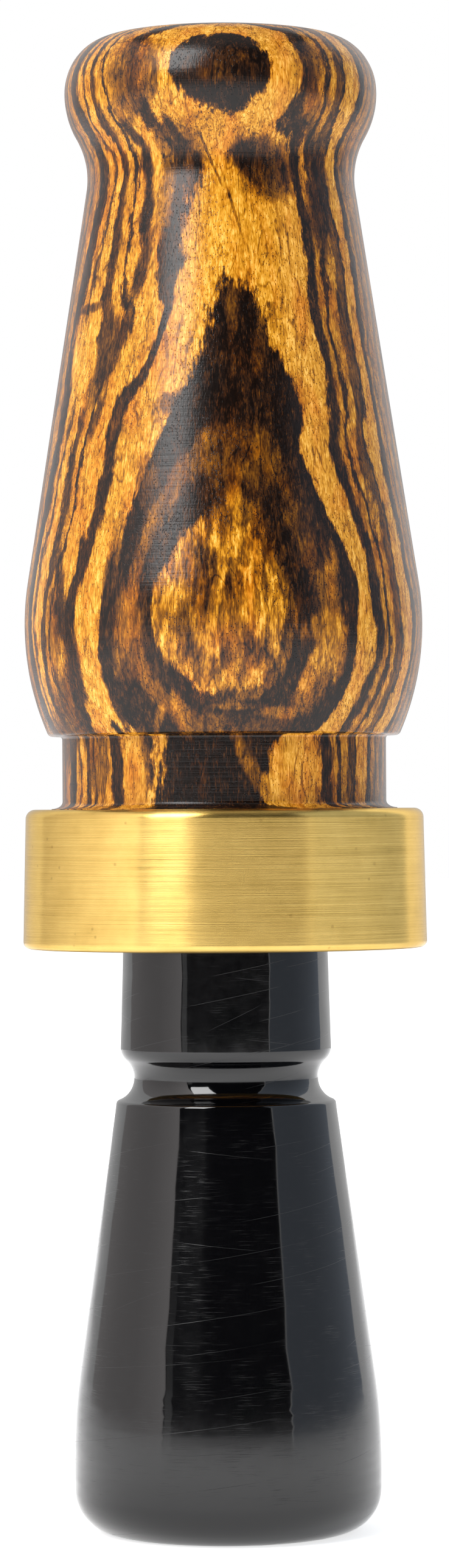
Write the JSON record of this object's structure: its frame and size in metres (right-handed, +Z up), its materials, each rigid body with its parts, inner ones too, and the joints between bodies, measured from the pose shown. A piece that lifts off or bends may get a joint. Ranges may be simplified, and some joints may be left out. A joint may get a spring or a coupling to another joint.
{
  "type": "duck call",
  "caption": "Mouth-blown reed bird call: turned wooden barrel with a brass band, on a black acrylic insert with tone board, reeds and cork wedge, standing on the insert's open end.",
  "frame": {"origin": "centre of the insert's open end, on the surface that the call stands on", "axes": "+Z up along the axis of the turned pieces, towards the mouth; the reeds lie on the -Y side of the tone board; X across the reeds"},
  "size_m": [0.0348, 0.0348, 0.1289],
  "materials": {
    "barrel_wood": "figured dark and golden brown hardwood, oiled and polished",
    "brass": "satin, fine lines round the band",
    "black_acrylic": "polished black, with faint scratches",
    "cork": "plain ground cork",
    "reed_film": "frosted polyester film",
    "rubber": "plain black rubber"
  },
  "bodies": {
    "insert": {"insert": "black_acrylic", "cork_wedge": "cork"},
    "o_rings": {"lower_o_ring": "rubber", "upper_o_ring": "rubber"},
    "barrel": {"barrel": "barrel_wood", "band": "brass"},
    "lower_reed": {"lower_reed": "reed_film"},
    "upper_reed": {"upper_reed": "reed_film"}
  },
  "joints": [
    {"name": "barrel_twist", "type": "hinge", "parent": "insert", "child": "o_rings", "pos_m": [0, 0, 0.0566], "axis": [0, 0, 1], "continuous": true},
    {"name": "barrel_pull", "type": "slide", "parent": "o_rings", "child": "barrel", "axis": [0, 0, 1], "range_m": [0, 0.068]},
    {"name": "lower_reed_flex", "type": "hinge", "parent": "insert", "child": "lower_reed", "pos_m": [0, -0.00094, 0.0753], "axis": [1, 0, 0], "range_deg": [-1.7, 2.2], "stiffness_Nm_per_rad": 0.004, "deforming": ["lower_reed"]},
    {"name": "upper_reed_flex", "type": "hinge", "parent": "insert", "child": "upper_reed", "pos_m": [0, -0.00094, 0.0753], "axis": [1, 0, 0], "range_deg": [-1.7, 2.2], "stiffness_Nm_per_rad": 0.004, "deforming": ["upper_reed"]}
  ],
  "couplings": [
    {"joint": "upper_reed_flex", "follows": "lower_reed_flex", "ratio": 1}
  ]
}
